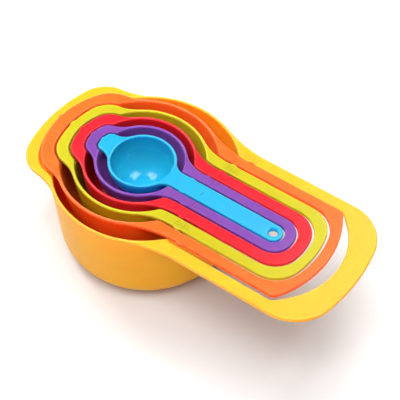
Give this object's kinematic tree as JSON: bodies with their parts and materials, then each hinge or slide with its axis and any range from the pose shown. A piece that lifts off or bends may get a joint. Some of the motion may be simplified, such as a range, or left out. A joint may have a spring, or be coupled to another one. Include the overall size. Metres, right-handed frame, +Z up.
{
  "type": "nesting measuring cup set",
  "caption": "Nest of rainbow-coloured kitchen measuring cups with pouring spouts and flat handles; each cup lifts out of the next larger one.",
  "frame": {"origin": "centre of the underside of the yellow cup's base", "axes": "+X along the handles away from the bowls, +Y across the cups, +Z up through the bowls' rims"},
  "size_m": [0.1787, 0.0948, 0.0549],
  "materials": {
    "yellow_plastic": "satin moulded polypropylene",
    "orange_plastic": "satin moulded polypropylene",
    "lemon_plastic": "satin moulded polypropylene",
    "red_plastic": "satin moulded polypropylene",
    "purple_plastic": "satin moulded polypropylene",
    "blue_plastic": "satin moulded polypropylene"
  },
  "bodies": {
    "yellow": {"yellow_cup": "yellow_plastic"},
    "orange": {"orange_cup": "orange_plastic"},
    "lemon": {"lemon_cup": "lemon_plastic"},
    "red": {"red_cup": "red_plastic"},
    "purple": {"purple_cup": "purple_plastic"},
    "blue": {"blue_cup": "blue_plastic"}
  },
  "joints": [
    {"name": "orange_lift", "type": "slide", "parent": "yellow", "child": "orange", "axis": [0, 0, 1], "range_m": [0, 0.042]},
    {"name": "lemon_lift", "type": "slide", "parent": "orange", "child": "lemon", "axis": [0, 0, 1], "range_m": [0, 0.04]},
    {"name": "red_lift", "type": "slide", "parent": "lemon", "child": "red", "axis": [0, 0, 1], "range_m": [0, 0.038]},
    {"name": "purple_lift", "type": "slide", "parent": "red", "child": "purple", "axis": [0, 0, 1], "range_m": [0, 0.023]},
    {"name": "blue_lift", "type": "slide", "parent": "purple", "child": "blue", "axis": [0, 0, 1], "range_m": [0, 0.021]}
  ]
}
